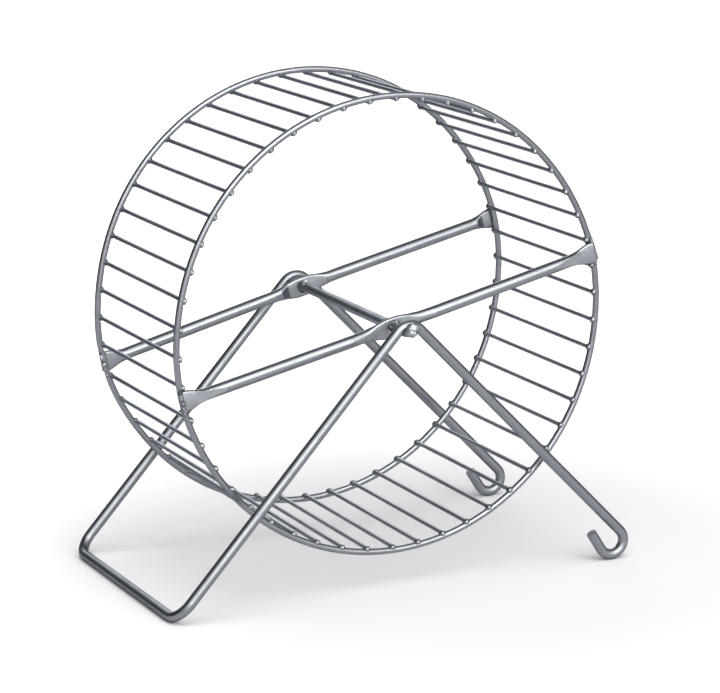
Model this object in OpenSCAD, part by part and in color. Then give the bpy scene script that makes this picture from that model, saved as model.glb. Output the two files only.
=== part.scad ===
// Rodent exercise wheel: a wire running wheel that hangs on a fixed axle in a bent-wire stand.
// Millimetres. X to the right, Y away from the viewer along the axle, Z up from the floor.
// The wheel itself is drawn in its own frame, u along the spokes (X), the axle along Y, v across (Z).

/* [Wheel] */
// Diameter over the two rims
wheel_d = 200; // [180:1:212]
// Width over the two rims
wheel_w = 90.2; // [70:0.2:110]
// Wire of the rims
rim_wire_d = 2.8; // [2.2:0.1:3.6]
// Number of rungs, even, so that each spoke end sits between two of them
rung_count = 50; // [40:2:54]
// Wire of the rungs
rung_wire_d = 1.8; // [1.4:0.1:2.4]
// How deep a rung is welded into the rim wire
rung_sink = 0.8; // [0.4:0.1:1.2]
// How far a rung stands out past the rim's outer face
rung_overhang = 0.2; // [0:0.1:1]
// Turn of the wheel as it hangs, right end of the spokes up
wheel_turn = 13.45; // [-90:0.05:90]

/* [Rim lap weld] */
// Angle above the pad where the upper wire end runs straight
lap_above = 5.3; // [4:0.1:8]
// Length of the straight upper wire end
lap_straight = 13.4; // [10:0.1:15]
// Angle below the pad where the lower wire end curls in
lap_below = 4; // [3:0.1:5]
// Centre-line radius of the curl
lap_curl_r = 46; // [35:1:60]
// Angle through which the lower wire end curls
lap_curl = 13.7; // [11:0.1:15]

/* [Spokes] */
// Rod of the spokes
spoke_rod_d = 5; // [4:0.1:6]
// Thickness that the rod is pressed to at the hub and at both ends
spoke_flat_t = 2.2; // [1.8:0.1:3]
// Width of the pressed hub at its hole
hub_w = 8.9; // [8.4:0.1:11]
// Half length of the hub's flat
hub_flat = 7; // [5:0.5:10]
// Length of the steep press mark on the inner face
hub_ramp_in = 4; // [2:0.5:6]
// Length of the long press mark on the outer face
hub_ramp_out = 13; // [7:0.5:16]
// Half length over which the hub swells
hub_swell = 14; // [10:0.5:18]
// Width of the pressed pads on the rims
pad_w = 9.4; // [7:0.1:11]
// Length over which a pad swells
pad_swell = 11; // [8:0.5:14]
// Length of the press mark into a pad
pad_ramp = 3.4; // [2:0.1:5]
// How far a pad reaches past the rim wire's centre line
pad_over = 1.7; // [1.4:0.1:3]
// Length of a pad's flat
pad_flat = 7.1; // [6:0.1:9]
// How deep a pad is welded into the rim's outer face
pad_sink = 0.5; // [0.3:0.1:0.9]
// How much the front spoke is welded on askew, right end up
skew_front = -0.8; // [-1.5:0.1:1.5]
// The same for the rear spoke
skew_rear = 0.1; // [-1.5:0.1:1.5]

/* [Axle] */
// Wire of the axle
axle_d = 4.5; // [3.6:0.1:5]
// How much wider the hub holes are than the axle
hub_play = 0.9; // [0.5:0.1:1.2]
// How far the axle stands out past the stand's wire
axle_over = 3.15; // [1:0.05:6]
// Bevel on the axle's ends
axle_bevel = 0.4; // [0.2:0.1:0.8]
// Width of the pressed ears that keep the wheel in place
ear_w = 6.5; // [6:0.1:7.5]
// Thickness of the pressed ears
ear_t = 3.2; // [2.6:0.1:3.6]
// Length of a pressed ear along the axle
ear_l = 4.6; // [3:0.1:6]
// Side play between an ear and the hub's flat
ear_play = 0.5; // [0.3:0.1:1.5]
// Lean of the ears
ear_turn = 50; // [0:1:90]

/* [Stand] */
// Wire of the stand
stand_wire_d = 4.5; // [3.6:0.1:6]
// Height of the axle's centre above the floor
axle_h = 113.8; // [110:0.1:140]
// Gap between the spokes and the stand
side_gap = 6.65; // [3:0.05:15]
// Centre-line radius of the bend over the axle
peak_bend_r = 7; // [6.5:0.1:12]
// Angle to the left of the bend's top at which the axle is seated
axle_seat = 22.9; // [0:0.1:40]
// How deep the axle is melted into the bend
axle_sink = 2.4; // [0.2:0.1:2.6]
// Sideways from the axle to the base bar, centre to centre
base_reach = 106; // [90:0.5:120]
// Centre-line radius of the bends beside the base bar
base_bend_r = 9; // [7:0.5:20]
// Sideways from the axle to the centre of the hooked feet
hook_reach = 100.7; // [90:0.1:120]
// Centre-line radius of the hooked feet
hook_r = 6; // [5:0.1:10]
// Rise of a hook's straight end, from level
hook_rise = 58; // [40:1:75]
// Length of a hook's straight end
hook_end = 9.5; // [6:0.1:14]

/* [Hidden] */
// Weld allowance between pieces that are welded together
weld_gap = 0.01;
// The hub hole's top rests on the axle with this much left between them
rest_gap = 0.05;
// Circle segments of a preview, and the sides and steps of the pressed shapes
$fn = 48;
ring_points = 24;
flat_steps = 5;
ramp_steps = 4;
// Half length at mid hub that keeps its full width
hub_round = 1.5;
// How far and how deep a pressed shape starts inside the round wire
bury = 1;
bury_step = 0.03;
// Rounding at a pad's cut end
pad_edge = 0.5;
// How far straight wire runs into a bend, and how much thinner the bend is
bend_lap = 0.05;
bend_thin = 0.02;
// Straight wire between the hoop and the curl of its lap
lap_kink = 0.5;

steel = [0.70, 0.72, 0.77];
bright_steel = [0.80, 0.82, 0.86];
dark_steel = [0.58, 0.60, 0.66];

rim_r = (wheel_d - rim_wire_d) / 2;
rim_y = (wheel_w - rim_wire_d) / 2;
rung_pitch = 360 / rung_count;
rung_r = rim_r - (rim_wire_d + rung_wire_d) / 2 + rung_sink;
rung_l = wheel_w + 2 * rung_overhang;
rod_r = spoke_rod_d / 2;
flat_r = spoke_flat_t / 2;
spoke_y = wheel_w / 2 - pad_sink + flat_r;
pad_end = rim_r + pad_over;
pad_foot = pad_end - pad_flat - pad_ramp;
pad_start = pad_end - pad_over - pad_swell;
hub_end = hub_flat + hub_ramp_out;
hub_hole_d = axle_d + hub_play;
axle_r = axle_d / 2;
stand_r = stand_wire_d / 2;
stand_y = spoke_y + rod_r + side_gap + stand_r;
axle_half = stand_y + stand_r + axle_over;
ear_end = spoke_y - flat_r - ear_play;
// The origin is on the floor, under the middle of the stand
axle_x = (base_reach - hook_reach - hook_r) / 2;
wheel_z = axle_h - hub_play / 2 + rest_gap;
// Centre of the bend over the axle, to the right of the axle and below it
peak_l = peak_bend_r - axle_r - stand_r - weld_gap + axle_sink;
peak_right = peak_l * sin(axle_seat);
peak_h = axle_h - peak_l * cos(axle_seat);
// Slopes and lengths of the two legs, each tangent to that bend
left_run = [base_reach + peak_right, peak_h - stand_r];
left_slope = atan2(left_run[1], left_run[0]) + asin(peak_bend_r / norm(left_run));
left_l = sqrt(left_run * left_run - pow(peak_bend_r, 2));
right_run = [hook_reach - peak_right, peak_h - stand_r - hook_r];
right_slope = atan2(right_run[1], right_run[0]) + asin((peak_bend_r - hook_r) / norm(right_run));
right_l = sqrt(right_run * right_run - pow(peak_bend_r - hook_r, 2));

rungs = [for (i = [1:rung_count]) str("rung_", i < 10 ? "0" : "", i)];

function clamp(s) = min(max(s, 0), 1);
function ease(s) = (1 - cos(180 * clamp(s))) / 2;
function blend(a, b, s) = a + (b - a) * s;
function steps(from, to, count) = [for (i = [1:count]) blend(from, to, i / count)];

// One section of a pressed wire, across v by half_w, from y = low to high, its sides rounded over cap
function pressed(u, half_w, low, high, cap) = [
    for (i = [0:ring_points - 1])
        let (a = (i + 0.5) * 360 / ring_points, k = 1 / cos(180 / ring_points))
        [u, (low + high) / 2 + (high - low) / 2 * sin(a) * k, sign(cos(a)) * (half_w - cap) + cap * cos(a) * k]
];

// A solid through a row of sections
module loft(sections) {
    n = len(sections[0]);
    last = (len(sections) - 1) * n;
    sides = [
        for (s = [0:n:last - n], i = [0:n - 1])
            let (j = (i + 1) % n)
            each [[s + i, s + j, s + n + i], [s + j, s + n + j, s + n + i]]
    ];
    ends = [[for (i = [n - 1:-1:0]) i], [for (i = [0:n - 1]) last + i]];
    polyhedron(points = [for (s = sections) each s], faces = concat(sides, ends));
}

// Wire bent as a bending machine does it, from the local origin along +Z. Each step of the path is
// [straight length, bend radius, bend angle, roll before the bend], and a bend turns towards local +X.
// As on real wire a bend is a hair thinner, and the straight wire runs a hair into it
module wire(d, path, back = 0) {
    length = path[0][0];
    radius = path[0][1];
    turn = path[0][2];
    rest = [for (i = [1:1:len(path) - 1]) path[i]];
    translate([0, 0, -back]) cylinder(d = d, h = back + length + (turn > 0 ? bend_lap : 0));
    translate([0, 0, length]) rotate([0, 0, path[0][3]]) translate([radius, 0, 0]) if (turn > 0) {
        rotate([-90, 0, 0]) rotate([0, 0, 180]) rotate_extrude(angle = turn, $fn = max($fn, 2 * radius))
            translate([radius, 0]) circle(d = d - bend_thin);
        if (len(rest) > 0) rotate([0, turn, 0]) translate([-radius, 0, 0]) wire(d, rest, bend_lap);
    }
}

// Puts what is drawn in the wheel's frame into its place
module on_wheel() {
    translate([axle_x, 0, wheel_z]) rotate([0, -wheel_turn, 0]) children();
}

// One hoop, whose wire ends lap where the spoke's right end is welded on
module hoop() {
    rotate([0, -lap_above, 0]) translate([rim_r, 0, -lap_straight]) rotate([0, 0, 180])
        wire(rim_wire_d, [
            [lap_straight, rim_r, 360 - lap_above - lap_below, 0],
            [lap_kink, lap_curl_r, lap_curl, 0]
        ]);
}

// The flats under the two pads and the notches of the rungs are melted into the hoop by the welds
module rim(skew) {
    notch_d = rung_wire_d + 2 * weld_gap;
    seat_l = pad_flat + pad_over;
    seat_y = -spoke_y + flat_r + weld_gap;
    difference() {
        translate([0, -rim_y, 0]) hoop();
        for (i = [0:rung_count - 1])
            rotate([0, -(i + 0.5) * rung_pitch, 0]) translate([rung_r, -rim_y, 0]) rotate([90, 0, 180])
                cylinder(d = notch_d, h = 2 * rim_wire_d, center = true);
        for (side = [0, 180])
            rotate([0, side - skew, 0]) translate([pad_end - pad_flat, seat_y - wheel_w, -pad_w / 2])
                cube([seat_l, wheel_w, pad_w]);
    }
}

module rim_front() {
    color(steel) on_wheel() rim(skew_front);
}

module rim_rear() {
    color(steel) on_wheel() rotate([0, 0, 180]) rim(-skew_rear);
}

// One rung with its two domed ends
module rung(i) {
    straight = rung_l - rung_wire_d;
    color(bright_steel) on_wheel() rotate([0, -(i - 0.5) * rung_pitch, 0]) translate([rung_r, 0, 0]) {
        rotate([90, 0, 0]) cylinder(d = rung_wire_d, h = straight, center = true);
        for (side = [-1, 1]) translate([0, side * straight / 2, 0]) sphere(d = rung_wire_d);
    }
}

// The swollen flat at mid spoke, its outer face towards -Y, with a long and a steep press mark
module hub_press() {
    half = concat(
        [0],
        steps(0, hub_flat, flat_steps),
        steps(hub_flat, hub_flat + hub_ramp_in, ramp_steps),
        steps(hub_flat + hub_ramp_in, hub_end, flat_steps)
    );
    stations = concat([for (i = [len(half) - 1:-1:1]) -half[i]], half);
    wire_r = rod_r - bury_step;
    tip_r = rod_r * 0.9;
    sections = [
        for (u = stations)
            let (
                half_w = blend(hub_w / 2, wire_r, ease((abs(u) - hub_round) / (hub_swell - hub_round))),
                outer = -blend(flat_r, wire_r, clamp((abs(u) - hub_flat) / hub_ramp_out)),
                inner = blend(flat_r, wire_r, clamp((abs(u) - hub_flat) / hub_ramp_in))
            )
            pressed(u, half_w, outer, inner, (inner - outer) / 2)
    ];
    loft(concat(
        [pressed(-hub_end - bury, tip_r, -tip_r, tip_r, tip_r)],
        sections,
        [pressed(hub_end + bury, tip_r, -tip_r, tip_r, tip_r)]
    ));
}

// A pressed pad at the end of a spoke, swelling towards its cut end
module pad_press() {
    stations = concat(
        [pad_start],
        steps(pad_start, pad_foot, 2),
        steps(pad_foot, pad_foot + pad_ramp, ramp_steps),
        steps(pad_foot + pad_ramp, pad_end - pad_edge, flat_steps)
    );
    wire_r = rod_r - bury_step;
    tip_r = rod_r * 0.9;
    sections = [
        for (u = stations)
            let (
                half_w = blend(wire_r, pad_w / 2, ease((u - pad_start) / pad_swell)),
                half_t = blend(wire_r, flat_r, clamp((u - pad_foot) / pad_ramp))
            )
            pressed(u, half_w, -half_t, half_t, min(half_t, half_w))
    ];
    end_t = flat_r - pad_edge / 2;
    loft(concat(
        [pressed(pad_start - bury, tip_r, -tip_r, tip_r, tip_r)],
        sections,
        [pressed(pad_end, (pad_w - pad_edge) / 2, -end_t, end_t, end_t)]
    ));
}

// A spoke rod with its hub hole, drawn for the front
module spoke(skew) {
    rotate([0, -skew, 0]) difference() {
        translate([0, -spoke_y, 0])
            for (side = [0, 180]) rotate([0, side, 0]) {
                translate([hub_end, 0, 0]) rotate([0, 90, 0]) cylinder(d = spoke_rod_d, h = pad_start - hub_end);
                pad_press();
                if (side == 0) hub_press();
            }
        rotate([90, 0, 0]) cylinder(d = hub_hole_d, h = 2 * stand_y);
    }
}

module spoke_front() {
    color(steel) on_wheel() spoke(skew_front);
}

module spoke_rear() {
    color(steel) on_wheel() rotate([0, 0, 180]) spoke(-skew_rear);
}

// An ear, where the axle's wire is pressed flat and wider than the hub hole
module ear() {
    wire_r = axle_r - bury_step;
    tip_r = axle_r * 0.9;
    sections = [
        for (i = [0:2 * flat_steps])
            let (
                s = i / (2 * flat_steps),
                press = ease(2.5 * s) * ease(2.5 * (1 - s)),
                half_w = blend(wire_r, ear_w / 2, press),
                half_t = blend(wire_r, ear_t / 2, press)
            )
            pressed(s * ear_l, half_w, -half_t, half_t, half_w)
    ];
    loft(concat(
        [pressed(-bury, tip_r, -tip_r, tip_r, tip_r)],
        sections,
        [pressed(ear_l + bury, tip_r, -tip_r, tip_r, tip_r)]
    ));
}

module axle() {
    mid_half = ear_end - ear_l;
    straight = axle_half - axle_bevel;
    color(dark_steel) translate([axle_x, 0, axle_h]) {
        rotate([90, 0, 0]) cylinder(d = axle_d, h = 2 * mid_half, center = true);
        for (side = [0, 180]) rotate([0, 0, side]) {
            translate([0, -ear_end, 0]) rotate([90, 0, 0]) cylinder(d = axle_d, h = straight - ear_end);
            translate([0, -straight, 0]) rotate([90, 0, 0])
                cylinder(d1 = axle_d, d2 = axle_d - 2 * axle_bevel, h = axle_bevel);
            translate([0, -ear_end, 0]) rotate([0, ear_turn, 0]) rotate([0, 0, 90]) ear();
        }
    }
}

// The stand is one wire, alike on both sides of the base bar's middle: half the bar, the bend into
// the leg, the bend over the axle, the other leg and the hooked foot. The axle lies in two notches
module stand_wire() {
    side_path = [
        [stand_y - base_bend_r, base_bend_r, 90, left_slope],
        [left_l - base_bend_r, peak_bend_r, left_slope + right_slope, -90],
        [right_l, hook_r, 180 - right_slope + hook_rise, 0],
        [hook_end, 0, 0, 0]
    ];
    color(dark_steel) difference() {
        translate([axle_x - base_reach, 0, stand_r])
            for (side = [0, 1]) mirror([0, side, 0]) rotate([90, 0, 0]) wire(stand_wire_d, side_path);
        translate([axle_x, 0, axle_h]) rotate([90, 90, 0])
            cylinder(d = axle_d + 2 * weld_gap, h = 4 * stand_y, center = true);
    }
}

stand_wire();
axle();
rim_front();
rim_rear();
spoke_front();
spoke_rear();
for (i = [1:rung_count]) rung(i);
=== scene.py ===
import bmesh
import bpy
import math
from mathutils import Matrix, Vector, noise


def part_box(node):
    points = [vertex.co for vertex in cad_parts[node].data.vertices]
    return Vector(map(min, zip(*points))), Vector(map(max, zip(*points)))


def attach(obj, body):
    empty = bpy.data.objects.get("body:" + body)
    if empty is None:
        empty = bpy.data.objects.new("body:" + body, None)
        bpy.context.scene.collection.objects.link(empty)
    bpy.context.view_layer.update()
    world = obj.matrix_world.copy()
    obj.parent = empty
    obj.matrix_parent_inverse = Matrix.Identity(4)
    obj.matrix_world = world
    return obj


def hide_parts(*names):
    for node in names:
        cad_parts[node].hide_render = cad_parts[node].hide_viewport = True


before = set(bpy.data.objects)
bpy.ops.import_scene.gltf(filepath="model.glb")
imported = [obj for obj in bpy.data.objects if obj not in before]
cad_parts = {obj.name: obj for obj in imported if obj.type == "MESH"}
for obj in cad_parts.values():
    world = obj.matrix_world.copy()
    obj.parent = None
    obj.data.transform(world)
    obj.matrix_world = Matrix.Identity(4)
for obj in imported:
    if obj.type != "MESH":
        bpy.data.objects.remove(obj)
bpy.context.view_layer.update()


# The view. The wheel is looked at from the front left and a little from above, through a long lens
# from about 1.4 m away, as in a shop's photograph. The camera leans half a degree.
WHEEL_CENTRE = Vector((-0.00035, 0.0, 0.1134))
VIEW_AZIMUTH = math.radians(-25.677)
VIEW_ELEVATION = math.radians(13.376)
VIEW_LEAN = math.radians(-0.538)
# Where the camera is from the wheel's centre
VIEW_FROM = Vector((-0.58361, -1.22720, 0.30506))
VIEW_LENS = 160.157
VIEW_SENSOR = 36.0


def direction_of(azimuth, elevation):
    """The direction out from the wheel. Azimuth 0 is straight in front, and elevation 0 is level."""
    return Vector((math.sin(azimuth) * math.cos(elevation),
                   -math.cos(azimuth) * math.cos(elevation),
                   math.sin(elevation)))


backwards = direction_of(VIEW_AZIMUTH, VIEW_ELEVATION)
level_right = Vector((math.cos(VIEW_AZIMUTH), math.sin(VIEW_AZIMUTH), 0.0))
level_up = backwards.cross(level_right)
right = math.cos(VIEW_LEAN) * level_right + math.sin(VIEW_LEAN) * level_up
up = math.cos(VIEW_LEAN) * level_up - math.sin(VIEW_LEAN) * level_right
camera_data = bpy.data.cameras.new("camera")
camera_data.sensor_width = VIEW_SENSOR
camera_data.lens = VIEW_LENS
camera_data.clip_start = 0.05
camera_data.clip_end = 50.0
camera = bpy.data.objects.new("camera", camera_data)
camera.matrix_world = Matrix.Translation(WHEEL_CENTRE + VIEW_FROM) @ Matrix(
    (right, up, backwards)).transposed().to_4x4()
bpy.context.scene.collection.objects.link(camera)
bpy.context.scene.camera = camera


# The stand. One 4.5 mm steel wire, bent cold from the base bar over the axle to the hooked feet on
# either side, and zinc plated after welding. The plating is satin blue-grey, with a fine grain, small
# pits and duller clouds. Its two cut ends are a little rounded.
MM = 0.001
STAND_LIGHT = (0.240, 0.250, 0.270)
STAND_DULL = (0.190, 0.198, 0.217)
# How fine each mark of the plating is, and between which values of its pattern it fades in
CLOUDS_PER_METRE = 90.0
CLOUD_EDGE = (0.38, 0.62)
SPECKS_PER_METRE = 1400.0
SPECK_EDGE = (0.30, 0.70)
LINES_PER_METRE = 2600.0
PITS_PER_METRE = 520.0
PIT_EDGE = (0.10, 0.26)
PIT_DIRT = 0.6
PIT_DEPTH = -0.5
DULL_ROUGHER = 0.12
GRAIN_DEPTH = 0.15 * MM
GLANCING_TINT = (0.42, 0.44, 0.48, 1.0)
# Corners of a solid that are closer than this are one, in metres
SAME_PLACE = 1e-7


def new_group(name, inputs, outputs):
    """An empty shader group. A float, colour or vector input is told by its starting value."""
    group = bpy.data.node_groups.new(name, "ShaderNodeTree")
    for key, value in inputs.items():
        kind = "Float" if isinstance(value, float) else "Color" if len(value) == 4 else "Vector"
        socket = group.interface.new_socket(key, in_out="INPUT", socket_type="NodeSocket" + kind)
        socket.default_value = value
    for key, kind in outputs.items():
        group.interface.new_socket(key, in_out="OUTPUT", socket_type="NodeSocket" + kind)
    return group, group.nodes.new("NodeGroupInput"), group.nodes.new("NodeGroupOutput")


def add_node(tree, kind, links=(), **settings):
    """A node with its settings, and its input sockets linked or set."""
    node = tree.nodes.new(kind)
    for key, value in settings.items():
        setattr(node, key, value)
    for socket, source in dict(links).items():
        if isinstance(source, bpy.types.NodeSocket):
            tree.links.new(source, node.inputs[socket])
        else:
            node.inputs[socket].default_value = source
    return node


def make_plating():
    """Colour, roughness and height of plated drawn wire. Grain holds coordinates that hardly change
    along a straight wire, so that noise on it draws lengthwise lines."""
    group, given, made = new_group(
        "plating",
        {"Grain": (0.0, 0.0, 0.0), "Light": (0.3, 0.3, 0.3, 1.0), "Dull": (0.2, 0.2, 0.2, 1.0),
         "Rough": 0.25},
        {"Color": "Color", "Roughness": "Float", "Height": "Float"})
    where = add_node(group, "ShaderNodeTexCoord").outputs["Object"]
    clouds = add_node(group, "ShaderNodeTexNoise", {
        "Vector": where, "Scale": CLOUDS_PER_METRE, "Detail": 4.0, "Roughness": 0.6})
    specks = add_node(group, "ShaderNodeTexNoise", {
        "Vector": where, "Scale": SPECKS_PER_METRE, "Detail": 3.0, "Roughness": 0.7})
    lines = add_node(group, "ShaderNodeTexNoise", {
        "Vector": given.outputs["Grain"], "Scale": LINES_PER_METRE, "Detail": 2.0})
    pits = add_node(group, "ShaderNodeTexVoronoi", {"Vector": where, "Scale": PITS_PER_METRE})
    pit = add_node(group, "ShaderNodeMapRange", {
        "Value": pits.outputs["Distance"], "From Min": PIT_EDGE[0], "From Max": PIT_EDGE[1],
        "To Min": 1.0, "To Max": 0.0})
    cloud = add_node(group, "ShaderNodeMapRange", {
        "Value": clouds.outputs["Fac"], "From Min": CLOUD_EDGE[0], "From Max": CLOUD_EDGE[1]})
    speck = add_node(group, "ShaderNodeMapRange", {
        "Value": specks.outputs["Fac"], "From Min": SPECK_EDGE[0], "From Max": SPECK_EDGE[1]})
    dull = add_node(group, "ShaderNodeMath", {0: cloud.outputs[0], 1: speck.outputs[0]},
                    operation="MULTIPLY")
    dirt = add_node(group, "ShaderNodeMath", {0: pit.outputs[0], 1: PIT_DIRT, 2: dull.outputs[0]},
                    operation="MULTIPLY_ADD", use_clamp=True)
    colour = add_node(group, "ShaderNodeMix", {
        "Factor": dirt.outputs[0], 6: given.outputs["Light"], 7: given.outputs["Dull"]},
        data_type="RGBA")
    rough = add_node(group, "ShaderNodeMath", {
        0: dull.outputs[0], 1: DULL_ROUGHER, 2: given.outputs["Rough"]}, operation="MULTIPLY_ADD")
    grain = add_node(group, "ShaderNodeMath", {0: specks.outputs["Fac"], 1: lines.outputs["Fac"]},
                     operation="ADD")
    height = add_node(group, "ShaderNodeMath", {0: pit.outputs[0], 1: PIT_DEPTH, 2: grain.outputs[0]},
                      operation="MULTIPLY_ADD")
    group.links.new(colour.outputs[2], made.inputs["Color"])
    group.links.new(rough.outputs[0], made.inputs["Roughness"])
    group.links.new(height.outputs[0], made.inputs["Height"])
    return group


plating = make_plating()


def plated(name, light, dull, rough, bump, along=(1.0, 1.0, 1.0), turned=0.0):
    """A plated finish. along scales each axis of the lines' pattern, after a turn about the axle."""
    material = bpy.data.materials.new(name)
    material.use_nodes = True
    tree = material.node_tree
    shader = tree.nodes["Principled BSDF"]
    shader.inputs["Metallic"].default_value = 1.0
    shader.inputs["Specular Tint"].default_value = GLANCING_TINT
    where = add_node(tree, "ShaderNodeTexCoord").outputs["Object"]
    turn = add_node(tree, "ShaderNodeMapping", {"Vector": where, "Rotation": (0.0, turned, 0.0)})
    grain = add_node(tree, "ShaderNodeVectorMath", {0: turn.outputs[0], 1: along}, operation="MULTIPLY")
    coat = add_node(tree, "ShaderNodeGroup", node_tree=plating)
    tree.links.new(grain.outputs[0], coat.inputs["Grain"])
    coat.inputs["Light"].default_value = (*light, 1.0)
    coat.inputs["Dull"].default_value = (*dull, 1.0)
    coat.inputs["Rough"].default_value = rough
    tree.links.new(coat.outputs["Color"], shader.inputs["Base Color"])
    tree.links.new(coat.outputs["Roughness"], shader.inputs["Roughness"])
    relief = add_node(tree, "ShaderNodeBump", {
        "Strength": bump, "Distance": GRAIN_DEPTH, "Height": coat.outputs["Height"]})
    tree.links.new(relief.outputs["Normal"], shader.inputs["Normal"])
    return material


def finish_node(name, material):
    """A carried-over solid gets its finish."""
    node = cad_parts[name]
    node.data.materials.clear()
    node.data.materials.append(material)


def new_piece(shape, name, body, materials, crease):
    """Makes a piece of a bmesh: smooth, but sharp where faces meet at more than crease degrees."""
    mesh = bpy.data.meshes.new(name)
    shape.to_mesh(mesh)
    shape.free()
    if "custom_normal" in mesh.attributes:
        mesh.attributes.remove(mesh.attributes["custom_normal"])
    mesh.shade_smooth()
    mesh.set_sharp_from_angle(angle=math.radians(crease))
    for material in materials:
        mesh.materials.append(material)
    piece = bpy.data.objects.new(name, mesh)
    bpy.context.scene.collection.objects.link(piece)
    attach(piece, body)
    return piece


def merged(node):
    """A bmesh of a carried-over solid, its loose triangles joined."""
    shape = bmesh.new()
    shape.from_mesh(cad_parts[node].data)
    bmesh.ops.remove_doubles(shape, verts=shape.verts, dist=SAME_PLACE)
    return shape


stand_steel = plated("stand_steel", STAND_LIGHT, STAND_DULL, rough=0.28, bump=0.25)
finish_node("stand_wire", stand_steel)


# The axle. A 4.5 mm wire through the wheel, pressed flat and wide just inside each spoke so that the
# wheel can't wander. Welding has melted both ends round and pushed them a little to the right.
AXLE_RADIUS = 2.25 * MM
AXLE_SIDES = 32
axle_low, axle_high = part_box("axle")
AXLE_END = axle_high[1]
AXLE_PLACE = ((axle_low[0] + axle_high[0]) / 2, (axle_low[2] + axle_high[2]) / 2)
EAR_MIDDLE = 41.8 * MM
EAR_HALF_LENGTH = 2.3 * MM
EAR_HALF_WIDTH = 3.25 * MM
EAR_HALF_THICKNESS = 1.6 * MM
EAR_LEAN = math.radians(50)
# The share of its half length over which an ear is fully flat, and the rings that shape that half
EAR_FLAT = 0.35
EAR_RINGS = 12
AXLE_LIGHT = (0.315, 0.328, 0.354)
AXLE_DULL = (0.235, 0.245, 0.268)
# Of each ring of the melted tip: how far from the end, and its radius, in millimetres
TIP_RINGS = ((0.3, 0.6), (0.6, 1.1), (1.3, 1.6), (2.6, 1.95), (4.2, 2.17))
TIP_LENGTH = 5.5 * MM
TIP_SHIFT = Vector((1.3 * MM, 0.0, -0.1 * MM))
ALONG_AXLE = (1.0, 0.03, 1.0)

axle_steel = plated("axle_steel", AXLE_LIGHT, AXLE_DULL, rough=0.38, bump=0.25, along=ALONG_AXLE)


def swell(distance, flat, reach):
    """1 within flat, falling smoothly to 0 at reach."""
    share = min(max((reach - distance) / (reach - flat), 0.0), 1.0)
    return share * share * (3 - 2 * share)


axle_stations = [(-AXLE_END + inwards * MM, radius * MM, radius * MM) for inwards, radius in TIP_RINGS]
axle_stations.append((-AXLE_END + TIP_LENGTH, AXLE_RADIUS, AXLE_RADIUS))
for step in range(-EAR_RINGS, EAR_RINGS + 1):
    pressed = swell(abs(step) / EAR_RINGS, EAR_FLAT, 1.0)
    axle_stations.append((-EAR_MIDDLE + step / EAR_RINGS * EAR_HALF_LENGTH,
                          AXLE_RADIUS + (EAR_HALF_WIDTH - AXLE_RADIUS) * pressed,
                          AXLE_RADIUS + (EAR_HALF_THICKNESS - AXLE_RADIUS) * pressed))
axle_stations += [(-y, wide, thick) for y, wide, thick in reversed(axle_stations)]

axle_shape = bmesh.new()
lean = Matrix.Rotation(EAR_LEAN, 4, "Y")
lying = (Matrix.Translation((AXLE_PLACE[0], 0.0, AXLE_PLACE[1])) @ lean
         @ Matrix.Rotation(math.radians(90), 4, "X"))
made = bmesh.ops.create_circle(axle_shape, cap_ends=True, segments=AXLE_SIDES, radius=AXLE_RADIUS,
                               matrix=lying)
ring = made["verts"]
last = (0.0, AXLE_RADIUS, AXLE_RADIUS)
to_middle = lean.to_3x3().inverted().to_4x4() @ Matrix.Translation((-AXLE_PLACE[0], 0.0, -AXLE_PLACE[1]))
for number, (y, wide, thick) in enumerate(axle_stations):
    if number > 0:
        open_edges = [edge for edge in axle_shape.edges if all(vert in ring for vert in edge.verts)]
        grown = bmesh.ops.extrude_edge_only(axle_shape, edges=open_edges)
        ring = [vert for vert in grown["geom"] if isinstance(vert, bmesh.types.BMVert)]
    bmesh.ops.translate(axle_shape, verts=ring, vec=(0.0, y - last[0], 0.0))
    bmesh.ops.scale(axle_shape, verts=ring, vec=(wide / last[1], 1.0, thick / last[2]), space=to_middle)
    last = (y, wide, thick)
bmesh.ops.holes_fill(axle_shape, edges=[edge for edge in axle_shape.edges if edge.is_boundary])
for vert in axle_shape.verts:
    vert.co += TIP_SHIFT * swell(AXLE_END - abs(vert.co.y), 0.0, TIP_LENGTH)
bmesh.ops.recalc_face_normals(axle_shape, faces=axle_shape.faces)
axle_wire = new_piece(axle_shape, "axle_wire", "stand", [axle_steel], crease=50)
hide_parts("axle")


# The two welds that hold the axle in the bends of the stand. Each is a bright lump of melted wire over
# the axle's end, with a smaller one under it in the crook of the bend. At each hub hole a bright burr
# stands round the axle, with one or two dark rings that are painted shade, filling the hole's shadow.
WELD_LIGHT = (0.46, 0.47, 0.49)
WELD_DULL = (0.10, 0.104, 0.118)
SEAM_LIGHT = (0.200, 0.208, 0.225)
SEAM_DULL = (0.095, 0.099, 0.111)
# Dark metal: scorch on some pad beads, and painted shade in the hub holes
SCORCH_AND_SHADE_LIGHT = (0.09, 0.094, 0.107)
SCORCH_AND_SHADE_DULL = (0.035, 0.037, 0.044)
# A weld's metals, by their place in weld_metals. The dark one is scorch on the pad beads, and painted shade
# in the hub holes
BRIGHT = 0
SEAM = 1
DARK_SCORCH_AND_SHADE = 2
# Of each lump, in millimetres: to the right of the axle, above it, half width, half length and half
# height, and then its unevenness
WELD_LUMPS = {"front": ((2.2, 1.95, 2.9, 2.3, 2.2, 0.13), (1.9, -0.3, 2.3, 2.1, 1.8, 0.2)),
              "rear": ((1.0, 1.2, 2.8, 2.3, 2.5, 0.11), (2.3, -2.2, 2.5, 2.2, 2.4, 0.2))}
WELD_INSET = 0.45 * MM
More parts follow.
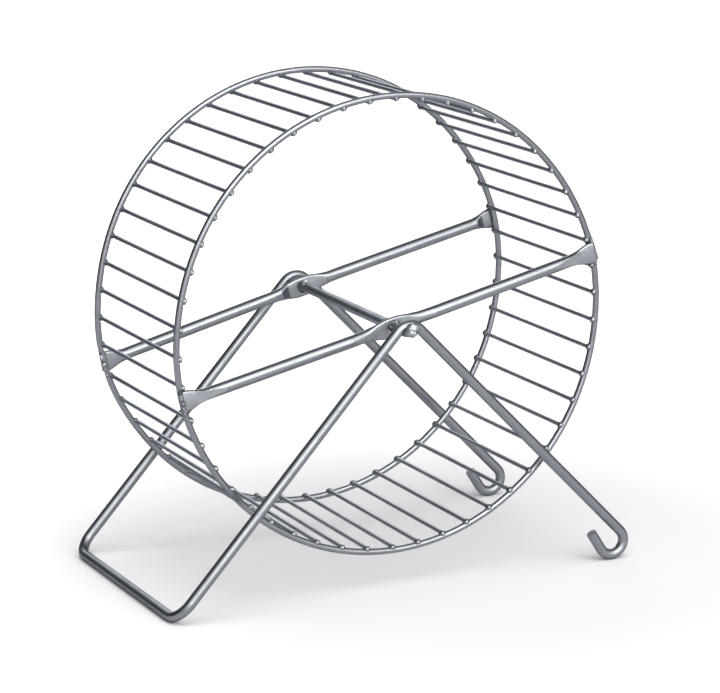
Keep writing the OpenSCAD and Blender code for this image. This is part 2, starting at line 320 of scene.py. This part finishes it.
# Of each burr, in millimetres: its radius, half its thickness, to the right of the axle, below it and
# out from the wheel's middle, and then its unevenness and its metal
# The dark burrs are painted shade in the hub holes; the bright ones are weld metal
BURRS = {"front": ((2.95, 0.45, 0.1, 0.15, 47.3, 0.10, DARK_SCORCH_AND_SHADE),
                   (2.2, 0.8, 0.2, -0.15, 47.6, 0.4, BRIGHT)),
         "rear": ((3.3, 0.6, 0.0, 0.55, 47.75, 0.10, DARK_SCORCH_AND_SHADE),
                  (2.62, 0.35, 0.0, 0.1, 44.25, 0.10, DARK_SCORCH_AND_SHADE),
                  (2.3, 0.6, 0.5, -0.2, 43.95, 0.4, BRIGHT))}
LUMP_NOISE_SCALE = 1.7
LUMP_FINENESS = 4
WELD_SEED = 3.0
WELD_SEED_STEP = 5.0
BURR_SEED = 11.0

weld_steel = plated("weld_steel", WELD_LIGHT, WELD_DULL, rough=0.20, bump=0.9)
seam_steel = plated("seam_steel", SEAM_LIGHT, SEAM_DULL, rough=0.38, bump=0.6)
# Dark finish: scorch on pad beads, and painted shade in the hub holes
scorch_and_shade_steel = plated("scorch_and_shade_steel", SCORCH_AND_SHADE_LIGHT, SCORCH_AND_SHADE_DULL, rough=0.30, bump=0.9)
weld_metals = [weld_steel, seam_steel, scorch_and_shade_steel]


def lump(shape, centre, halves, fineness, uneven, seed, turn=Matrix(), metal=BRIGHT):
    """Adds a rounded, uneven lump of melted metal, given by its half sizes."""
    made = bmesh.ops.create_icosphere(shape, subdivisions=fineness, radius=1.0)
    for vert in made["verts"]:
        vert.co *= 1.0 + uneven * noise.noise(vert.co * LUMP_NOISE_SCALE + Vector((seed, 0.0, 0.0)))
        for face in vert.link_faces:
            face.material_index = metal
    bmesh.ops.transform(shape, verts=made["verts"],
                        matrix=Matrix.Translation(centre) @ turn @ Matrix.Diagonal((*halves, 1.0)))


for side, end in (("front", -1), ("rear", 1)):
    weld_shape = bmesh.new()
    for number, (right_by, up_by, wide, deep, high, uneven) in enumerate(WELD_LUMPS[side]):
        middle = Vector((AXLE_PLACE[0] + right_by * MM, end * (AXLE_END - deep * MM - WELD_INSET),
                         AXLE_PLACE[1] + up_by * MM))
        lump(weld_shape, middle, (wide * MM, deep * MM, high * MM), LUMP_FINENESS, uneven,
             WELD_SEED + WELD_SEED_STEP * number)
    for radius, thick, right_by, below, out, uneven, metal in BURRS[side]:
        middle = Vector((AXLE_PLACE[0] + right_by * MM, end * out * MM, AXLE_PLACE[1] - below * MM))
        lump(weld_shape, middle, (radius * MM, thick * MM, radius * MM), LUMP_FINENESS, uneven,
             BURR_SEED, metal=metal)
    new_piece(weld_shape, "axle_weld_" + side, "stand", weld_metals, crease=60)


# The two rims. Each is a 2.8 mm wire rolled into a hoop, its ends lapped and welded behind the pad of
# a spoke. Welding has left them out of true: off the centre or too small, and pushed out where the pads
# hold them. The rungs and their welds follow, so this is written as a place for every point.
RIM_RADIUS = 98.6 * MM
RIM_OUT = 43.7 * MM
WHEEL_TURN = math.radians(13.45)
# Moved right, moved up, larger by, and pushed out at the right and at the left pad
FAULTS = {"front": (0.70 * MM, -0.19 * MM, -0.05 * MM, 0.70 * MM, 0.60 * MM),
          "rear": (0.0, 0.0, -0.65 * MM, 0.95 * MM, 1.40 * MM)}
PUSH_SPREAD = math.radians(17)
# Where each rim's ends lap, and how far the outer wire end stands off or was melted in
LAPS = {"front": (WHEEL_TURN, 0.55 * MM), "rear": (WHEEL_TURN + math.pi, -0.75 * MM)}
LAP_SPREAD = (math.radians(1.0), math.radians(5.0))
# Only a rim's outer side moves at its lap: from this far inside its middle, growing over this width
LAP_INSIDE = 0.4 * MM
LAP_GROWS = 1.2 * MM


def fault_at(angle, side):
    """How far welding has moved a rim, at an angle counted up from its right side."""
    right_by, up_by, larger, push_right, push_left = FAULTS[side]
    out = larger
    for pad, push in ((WHEEL_TURN, push_right), (WHEEL_TURN + math.pi, push_left)):
        off = math.remainder(angle - pad, 2 * math.pi)
        out += push * math.exp(-(off / PUSH_SPREAD) ** 2)
    return Vector((right_by + out * math.cos(angle), 0.0, up_by + out * math.sin(angle)))


def as_welded(place):
    """Where a point of the true wheel is on the welded one."""
    angle = math.atan2(place.z - WHEEL_CENTRE.z, place.x - WHEEL_CENTRE.x)
    rear_share = min(max((place.y / RIM_OUT + 1) / 2, 0.0), 1.0)
    return place + fault_at(angle, "front").lerp(fault_at(angle, "rear"), rear_share)


wheel_steel = plated("wheel_steel", STAND_LIGHT, STAND_DULL, rough=0.20, bump=0.25)
for side in ("front", "rear"):
    rim_shape = merged("rim_" + side)
    lap, stands_off = LAPS[side]
    for vert in rim_shape.verts:
        spoked = Vector((vert.co.x - WHEEL_CENTRE.x, 0.0, vert.co.z - WHEEL_CENTRE.z))
        off_lap = abs(math.remainder(math.atan2(spoked.z, spoked.x) - lap, 2 * math.pi))
        outside = min(max((spoked.length - RIM_RADIUS + LAP_INSIDE) / LAP_GROWS, 0.0), 1.0)
        moved = spoked.normalized() * stands_off * outside * swell(off_lap, *LAP_SPREAD)
        vert.co = as_welded(vert.co) + moved
    rim_wire = new_piece(rim_shape, "rim_wire_" + side, "wheel", [wheel_steel], crease=40)
    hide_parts("rim_" + side)


# The two spokes. Each is a 5 mm rod, pressed flat at the hub and at both ends. Pressing left the flats
# matt and bent each rod a little where the hub ends. The steep marks' inner faces that look towards the
# rod's right end carry a painted shade.
SPOKE_TURN = {"front": math.radians(12.65), "rear": math.radians(13.55)}
ROD_RADIUS = 2.5 * MM
# The rod is a little fuller than true between these distances, and the fullness fades out beside them
ROD_FULLER = 0.055
ROD_STRETCH = (11.0 * MM, 89.5 * MM)
ROD_FADES = (3.0 * MM, 2.5 * MM)
# Where the outer side is pressed down to the pad in a long ramp, and half the pad's thickness
OUTER_RAMP = (80.0 * MM, 92.6 * MM)
RAMP_CUTS = 7
FLAT_HALF = 1.1 * MM
# The press marks, and the bare rod between the matt flats of the hub and of the pads
HUB_MARK = (6.9 * MM, 11.2 * MM)
PAD_MARK = (89.7 * MM, 93.3 * MM)
OUTER_ROD = (20.0 * MM, 80.5 * MM)
INNER_ROD = (11.2 * MM, 89.7 * MM)
# A mark's face has painted shade if it looks inwards, and towards the rod's right end, by at least these
# shares
MARK_INWARDS = 0.8
MARK_RIGHTWARDS = 0.15
# A flat's face looks straight in or out by at least this share, or by the second on a mark
FLAT_STRAIGHT = 0.975
FLAT_STRAIGHT_ON_MARK = 0.9
# Raised beside the hub, and how far the right and the left end are turned up
SPOKE_BENDS = {"front": (0.14 * MM, math.radians(0.53), math.radians(0.20)),
               "rear": (0.15 * MM, math.radians(-0.53), math.radians(-0.60))}
HUB_STRAIGHT = 5.0 * MM
BEND_START = 13.0 * MM
# The rear spoke's left pad has only half its length past this distance
SHORT_PAD = 98.0 * MM
SHORT_BY = 0.5
# Painted shade on the steep press marks, dark where they turn from the light
MARK_SHADE_PAINT_LIGHT = (0.11, 0.115, 0.132)
MARK_SHADE_PAINT_DULL = (0.08, 0.084, 0.098)
PRESSED_LIGHT = (0.262, 0.272, 0.292)
PRESSED_DULL = (0.215, 0.224, 0.243)
ALONG_SPOKE = (0.03, 1.0, 1.0)
# The finishes of a spoke's faces other than its rod, by their place in its materials: the marks' painted
# shade and the matt flats
MARK_PAINTED_SHADE = 1
PRESSED = 2

spoke_steel = plated("spoke_steel", STAND_LIGHT, STAND_DULL, rough=0.20, bump=0.25,
                     along=ALONG_SPOKE, turned=WHEEL_TURN)
mark_shade_paint_steel = plated("mark_shade_paint_steel", MARK_SHADE_PAINT_LIGHT, MARK_SHADE_PAINT_DULL, rough=0.34, bump=0.5)
pressed_steel = plated("pressed_steel", PRESSED_LIGHT, PRESSED_DULL, rough=0.46, bump=0.35)
for side, inner in (("front", 1), ("rear", -1)):
    spoke_shape = merged("spoke_" + side)
    rod_line = Vector((math.cos(SPOKE_TURN[side]), 0.0, math.sin(SPOKE_TURN[side])))
    rod_up = Vector((-rod_line.z, 0.0, rod_line.x))
    rod_y = (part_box("spoke_" + side)[0][1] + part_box("spoke_" + side)[1][1]) / 2
    for cut in range(RAMP_CUTS + 1):
        for end in (-1, 1):
            at = OUTER_RAMP[0] + (OUTER_RAMP[1] - OUTER_RAMP[0]) * cut / RAMP_CUTS
            everything = spoke_shape.verts[:] + spoke_shape.edges[:] + spoke_shape.faces[:]
            bmesh.ops.bisect_plane(spoke_shape, geom=everything,
                                   plane_co=WHEEL_CENTRE + end * at * rod_line, plane_no=rod_line)
    for vert in spoke_shape.verts:
        along = abs((vert.co - WHEEL_CENTRE).dot(rod_line))
        ramp = min(max((along - OUTER_RAMP[0]) / (OUTER_RAMP[1] - OUTER_RAMP[0]), 0.0), 1.0)
        half = ROD_RADIUS + (FLAT_HALF - ROD_RADIUS) * ramp
        if (vert.co.y - rod_y) * -inner > half:
            vert.co.y = rod_y - inner * half
    spoke_shape.normal_update()
    for face in spoke_shape.faces:
        along = abs((face.calc_center_median() - WHEEL_CENTRE).dot(rod_line))
        inwards = face.normal.y * inner
        on_mark = HUB_MARK[0] < along < HUB_MARK[1] or PAD_MARK[0] < along < PAD_MARK[1]
        bare_rod = INNER_ROD if inwards > 0 else OUTER_ROD
        straight = FLAT_STRAIGHT_ON_MARK if on_mark else FLAT_STRAIGHT
        # Painted shade on a mark's faces that look inwards and towards the right
        if on_mark and inwards > MARK_INWARDS and face.normal.dot(rod_line) > MARK_RIGHTWARDS:
            face.material_index = MARK_PAINTED_SHADE
        elif abs(face.normal.y) > straight and not bare_rod[0] < along < bare_rod[1]:
            face.material_index = PRESSED
    raised, *turned_up = SPOKE_BENDS[side]
    for vert in spoke_shape.verts:
        along = (vert.co - WHEEL_CENTRE).dot(rod_line)
        high = (vert.co - WHEEL_CENTRE).dot(rod_up)
        near_hub = swell(abs(along), ROD_STRETCH[0] - ROD_FADES[0], ROD_STRETCH[0])
        near_pad = swell(-abs(along), -ROD_STRETCH[1] - ROD_FADES[1], -ROD_STRETCH[1])
        on_rod = 1.0 - near_hub - near_pad
        vert.co += ROD_FULLER * on_rod * (rod_up * high + Vector((0.0, vert.co.y - rod_y, 0.0)))
        past = max(abs(along) - BEND_START, 0.0)
        off_hub = 1.0 - swell(abs(along), HUB_STRAIGHT, BEND_START)
        vert.co += rod_up * (raised * off_hub + past * math.tan(turned_up[0 if along > 0 else 1]))
        if side == "rear" and along < -SHORT_PAD:
            vert.co -= rod_line * (along + SHORT_PAD) * SHORT_BY
    spoke_rod = new_piece(spoke_shape, "spoke_rod_" + side, "wheel",
                          [spoke_steel, mark_shade_paint_steel, pressed_steel], crease=18)
    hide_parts("spoke_" + side)


# The fifty rungs. Each is a 1.8 mm wire, spot welded inside both rims, its ends left round. The
# weld swells the crossing into a small collar. They were set by eye, and have slipped round a little.
RUNG_LIGHT = (0.345, 0.358, 0.385)
RUNG_DULL = (0.27, 0.282, 0.305)
COLLAR_OUT = 97.5 * MM
# Half sizes of a collar: out from the wheel's middle, along the rung and round the rim
COLLAR_SIZE = (1.5 * MM, 1.6 * MM, 1.65 * MM)
COLLAR_SIDES = 8
COLLAR_RINGS = 6
# How far the rungs have slipped at the start and at the end of each half wheel, counted from the pads
SLIPS = ((math.radians(-0.25), math.radians(-0.70)), (math.radians(0.70), math.radians(0.15)))

rung_steel = plated("rung_steel", RUNG_LIGHT, RUNG_DULL, rough=0.28, bump=0.25, along=ALONG_AXLE)
rungs = sorted(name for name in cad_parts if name.startswith("rung_"))
collars = {"front": bmesh.new(), "rear": bmesh.new()}
for rung in rungs:
    low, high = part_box(rung)
    angle = math.atan2((low[2] + high[2]) / 2 - WHEEL_CENTRE.z, (low[0] + high[0]) / 2 - WHEEL_CENTRE.x)
    half_wheel, share = divmod((angle - WHEEL_TURN) % (2 * math.pi), math.pi)
    at_start, at_end = SLIPS[int(half_wheel)]
    slip = at_start + (at_end - at_start) * share / math.pi
    rung_shape = merged(rung)
    bmesh.ops.rotate(rung_shape, verts=rung_shape.verts, cent=WHEEL_CENTRE,
                     matrix=Matrix.Rotation(-slip, 3, "Y"))
    for vert in rung_shape.verts:
        vert.co = as_welded(vert.co)
    rung_wire = new_piece(rung_shape, rung.replace("rung", "rung_wire"), "wheel",
                          [rung_steel], crease=40)
    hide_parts(rung)

    angle += slip
    for side, end in (("front", -1), ("rear", 1)):
        made = bmesh.ops.create_uvsphere(collars[side], u_segments=COLLAR_SIDES,
                                         v_segments=COLLAR_RINGS, radius=1.0)
        crossing = Vector((math.cos(angle) * COLLAR_OUT, end * RIM_OUT, math.sin(angle) * COLLAR_OUT))
        place = as_welded(WHEEL_CENTRE + crossing)
        bmesh.ops.transform(collars[side], verts=made["verts"],
                            matrix=Matrix.Translation(place) @ Matrix.Rotation(-angle, 4, "Y")
                            @ Matrix.Diagonal((*COLLAR_SIZE, 1.0)))
for side, collar_shape in collars.items():
    new_piece(collar_shape, "rung_welds_" + side, "wheel", [seam_steel], crease=80)


# The welds of the spokes' left pads on the rims, and of the front rim's lapped wire ends by its right
# pad. Each is a row of small, uneven beads run along the rim by hand.
BEAD_FINENESS = 2
BEAD_SEED_STEP = 1.9
# What the draws of the beads' places start from, so that each run gives the same beads
BEAD_DRAWS = 1
# How far a bead wanders off its row in millimetres, how much its size varies, and how uneven it is
BEAD_WANDERS = 0.5
BEAD_GROWS = 0.7
BEAD_UNEVEN = 0.3
# The steps from bead to bead and the planes in the noise that draws its place and its metal
PLACE_STEP = 1.37
PLACE_PLANE = 0.5
METAL_STEP = 2.3
METAL_PLANE = 6.5
METAL_SPREAD = 0.8
METAL_MIDDLE = 0.5
# Of each row, in millimetres: along the spoke, out from the wheel's middle, and from and to across the
# spoke. Then the number of beads, a bead's half sizes in millimetres, and the two limits below which
# the number drawn for a bead makes it bright, or else a seam. At the second and above it is scorched.
WELD_ROWS = {"front": ((-99.5, -46.7, -4.6, 4.6, 14, (0.95, 0.5, 0.95), (-1.0, 0.85)),
                       (98.9, -45.2, 5.4, 7.2, 4, (0.8, 0.7, 0.7), (0.3, 0.7))),
             "rear": ((-99.2, 42.6, -6.5, 4.0, 14, (0.7, 0.45, 0.75), (0.3, 0.62)),)}

noise.seed_set(BEAD_DRAWS)
for side, rows in WELD_ROWS.items():
    bead_shape = bmesh.new()
    rod_line = Vector((math.cos(SPOKE_TURN[side]), 0.0, math.sin(SPOKE_TURN[side])))
    rod_up = Vector((-rod_line.z, 0.0, rod_line.x))
    turn = Matrix.Rotation(-SPOKE_TURN[side], 4, "Y")
    for along, out, first, last, count, halves, limits in rows:
        for bead in range(count):
            across = first + (last - first) * bead / (count - 1)
            drawn = noise.noise_vector((bead * PLACE_STEP, along, PLACE_PLANE)) * BEAD_WANDERS
            place = WHEEL_CENTRE + ((along + drawn.x) * rod_line + (across + drawn.y) * rod_up) * MM
            place.y = out * MM
            grown = 1.0 + BEAD_GROWS * drawn.z
            metal_drawn = noise.noise((bead * METAL_STEP, along, METAL_PLANE)) * METAL_SPREAD + METAL_MIDDLE
            metal = BRIGHT if metal_drawn < limits[0] else SEAM if metal_drawn < limits[1] else DARK_SCORCH_AND_SHADE
            lump(bead_shape, as_welded(place), [half * grown * MM for half in halves], BEAD_FINENESS,
                 BEAD_UNEVEN, bead * BEAD_SEED_STEP, turn, metal)
    new_piece(bead_shape, "pad_welds_" + side, "wheel", weld_metals, crease=60)


# The floor. A plain pale sheet with a painted shadow, greyer under the wheel than further out. What the
# wires mirror of it is a painted reflection, grey as well, and darkest far behind the wheel, where a sheet
# of paper would end.
FLOOR_RADIUS = 2.5
FLOOR_SIDES = 96
# Painted shadow: the floor's grey near the wheel
FLOOR_PAINTED_SHADOW = (0.50, 0.50, 0.51, 1.0)
FLOOR_WHITE = (0.85, 0.85, 0.85, 1.0)
# Painted reflection: the floor's greys as the wires mirror it
FLOOR_PAINTED_REFLECTION = (0.54, 0.54, 0.56, 1.0)
FLOOR_FAR_PAINTED_REFLECTION = (0.31, 0.317, 0.345, 1.0)
# The painted shadow's middle, and from and to how far from it the floor turns white, in metres
PAINTED_SHADOW_MIDDLE = (0.05, -0.02, 0.0)
PAINTED_SHADOW_TO_WHITE = (0.10, 0.38)
# From and to how far behind the wheel the floor's painted reflection darkens, in metres
PAINTED_REFLECTION_TO_FAR = (0.10, 0.45)

floor_mesh = bpy.data.meshes.new("floor")
floor_shape = bmesh.new()
bmesh.ops.create_circle(floor_shape, cap_ends=True, segments=FLOOR_SIDES, radius=FLOOR_RADIUS)
floor_shape.to_mesh(floor_mesh)
floor_shape.free()
floor = bpy.data.objects.new("floor", floor_mesh)
bpy.context.scene.collection.objects.link(floor)
floor_white = bpy.data.materials.new("floor_white")
floor_white.use_nodes = True
paint = floor_white.node_tree
place_on_floor = add_node(paint, "ShaderNodeTexCoord").outputs["Object"]
distance = add_node(paint, "ShaderNodeVectorMath", {0: place_on_floor, 1: PAINTED_SHADOW_MIDDLE},
                    operation="DISTANCE")
away = add_node(paint, "ShaderNodeMapRange", {
    "Value": distance.outputs["Value"], "From Min": PAINTED_SHADOW_TO_WHITE[0], "From Max": PAINTED_SHADOW_TO_WHITE[1]},
    interpolation_type="SMOOTHSTEP")
# The floor as seen, with its painted shadow
floor_with_painted_shadow = add_node(paint, "ShaderNodeMix", {
    "Factor": away.outputs[0], 6: FLOOR_PAINTED_SHADOW, 7: FLOOR_WHITE}, data_type="RGBA")
behind = add_node(paint, "ShaderNodeSeparateXYZ", {0: place_on_floor})
farness = add_node(paint, "ShaderNodeMapRange", {
    "Value": behind.outputs["Y"], "From Min": PAINTED_REFLECTION_TO_FAR[0], "From Max": PAINTED_REFLECTION_TO_FAR[1]},
    interpolation_type="SMOOTHSTEP")
# The floor as the wires mirror it, a painted reflection
floor_painted_reflection = add_node(paint, "ShaderNodeMix", {
    "Factor": farness.outputs[0], 6: FLOOR_PAINTED_REFLECTION, 7: FLOOR_FAR_PAINTED_REFLECTION}, data_type="RGBA")
mirrored = add_node(paint, "ShaderNodeLightPath").outputs["Is Glossy Ray"]
floor_colour = add_node(paint, "ShaderNodeMix", {
    "Factor": mirrored, 6: floor_with_painted_shadow.outputs[2], 7: floor_painted_reflection.outputs[2]}, data_type="RGBA")
floor_shader = paint.nodes["Principled BSDF"]
paint.links.new(floor_colour.outputs[2], floor_shader.inputs["Base Color"])
floor_shader.inputs["Roughness"].default_value = 0.9
floor_shader.inputs["Specular IOR Level"].default_value = 0.1
floor_mesh.materials.append(floor_white)


# The light. A large soft lamp overhead throws the shadow and isn't mirrored. The wires mirror a room of
# pale walls that turn dark behind and above, with two broad soft lights, one high in front of the wheel
# and one behind it. The camera sees plain white beyond the floor.
LAMP_AZIMUTH = math.radians(-20)
LAMP_ELEVATION = math.radians(80)
LAMP_DISTANCE = 2.2
LAMP_WIDTH = 2.0
LAMP_POWER = 40.0
# The walls fade from dark to pale along this direction, between these values of the pattern
PALE_SIDE = (0.3, -1.0, -0.5)
DARK_TO_PALE = (-0.8, -0.1)
DARK_WALL = (0.05, 0.052, 0.060, 1.0)
PALE_WALL = (0.41, 0.425, 0.455, 1.0)
# Of each broad soft light: its azimuth and elevation in degrees, how tight it is and how strong
GLOWS = ((-1, 31, 5.8, 5.8), (163, 19, 20.0, 4.1))
GLOW_COLOUR = (1.0, 1.0, 0.975, 1.0)
WHITE = (1.0, 1.0, 1.0, 1.0)

lamp_data = bpy.data.lights.new("overhead", "AREA")
lamp_data.shape = "DISK"
lamp_data.size = LAMP_WIDTH
lamp_data.energy = LAMP_POWER
lamp = bpy.data.objects.new("overhead", lamp_data)
to_lamp = direction_of(LAMP_AZIMUTH, LAMP_ELEVATION)
lamp.location = WHEEL_CENTRE + to_lamp * LAMP_DISTANCE
lamp.rotation_mode = "QUATERNION"
lamp.rotation_quaternion = (-to_lamp).to_track_quat("-Z", "Y")
lamp.visible_glossy = False
bpy.context.scene.collection.objects.link(lamp)

studio = bpy.data.worlds.new("studio")
bpy.context.scene.world = studio
studio.use_nodes = True
room = studio.node_tree
room.nodes.clear()
direction = add_node(room, "ShaderNodeTexCoord").outputs["Generated"]
frontness = add_node(room, "ShaderNodeVectorMath", {0: direction, 1: PALE_SIDE},
                     operation="DOT_PRODUCT")
pale_share = add_node(room, "ShaderNodeMapRange", {
    "Value": frontness.outputs["Value"], "From Min": DARK_TO_PALE[0], "From Max": DARK_TO_PALE[1]},
    interpolation_type="SMOOTHSTEP")
wall_colour = add_node(room, "ShaderNodeMix", {
    "Factor": pale_share.outputs[0], 6: DARK_WALL, 7: PALE_WALL}, data_type="RGBA")
walls = add_node(room, "ShaderNodeBackground", {"Color": wall_colour.outputs[2], "Strength": 1.0})
lit = walls.outputs[0]
for azimuth, elevation, tightness, strength in GLOWS:
    axis = direction_of(math.radians(azimuth), math.radians(elevation))
    near = add_node(room, "ShaderNodeVectorMath", {0: direction, 1: axis}, operation="DOT_PRODUCT")
    falloff = add_node(room, "ShaderNodeMath", {0: near.outputs["Value"], 1: tightness, 2: -tightness},
                       operation="MULTIPLY_ADD")
    bell = add_node(room, "ShaderNodeMath", {0: falloff.outputs[0]}, operation="EXPONENT")
    power = add_node(room, "ShaderNodeMath", {0: bell.outputs[0], 1: strength}, operation="MULTIPLY")
    glow = add_node(room, "ShaderNodeBackground", {"Color": GLOW_COLOUR, "Strength": power.outputs[0]})
    lit = add_node(room, "ShaderNodeAddShader", {0: lit, 1: glow.outputs[0]}).outputs[0]
backdrop = add_node(room, "ShaderNodeBackground", {"Color": WHITE, "Strength": 1.0})
seen = add_node(room, "ShaderNodeLightPath").outputs["Is Camera Ray"]
either = add_node(room, "ShaderNodeMixShader", {0: seen, 1: lit, 2: backdrop.outputs[0]})
add_node(room, "ShaderNodeOutputWorld", {"Surface": either.outputs[0]})
bpy.context.scene.view_settings.view_transform = "Standard"
